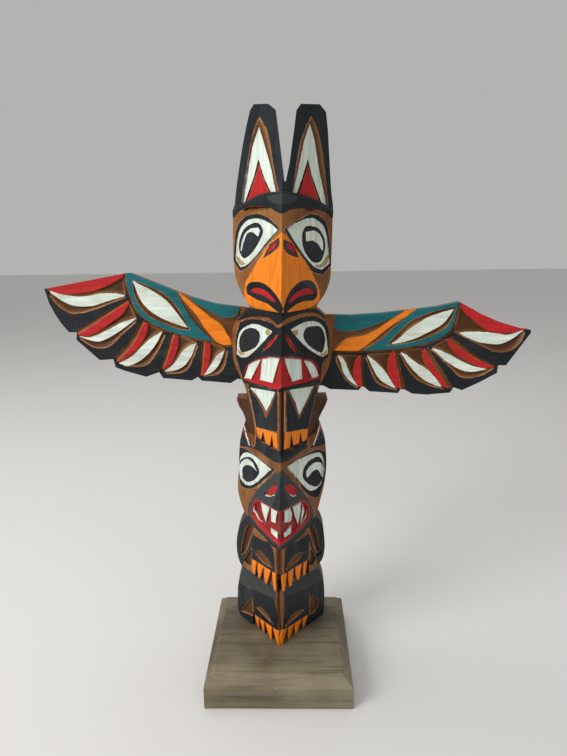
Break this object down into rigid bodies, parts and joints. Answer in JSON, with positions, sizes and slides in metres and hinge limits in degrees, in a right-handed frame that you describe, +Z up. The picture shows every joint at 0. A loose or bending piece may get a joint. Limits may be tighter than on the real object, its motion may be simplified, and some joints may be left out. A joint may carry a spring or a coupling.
{
  "type": "totem pole",
  "caption": "Small painted wooden totem pole: stacked bird, winged figure and bear carved in one stick, with two spread wings, on a square bevelled base.",
  "frame": {"origin": "centre of the base board's underside", "axes": "+Z up, the carved front faces -Y, +X to the right seen from the front"},
  "size_m": [0.2993, 0.089, 0.3453],
  "materials": {
    "base": "grey-brown stain, matt",
    "pole": "painted in black, red, orange and white on brown stained wood",
    "left_wing": "painted in black, teal, red, white and orange on brown stained wood",
    "right_wing": "painted in black, teal, red, white and orange on brown stained wood"
  },
  "bodies": {
    "root": {"base": "base", "pole": "pole", "left_wing": "left_wing", "right_wing": "right_wing"}
  },
  "joints": []
}
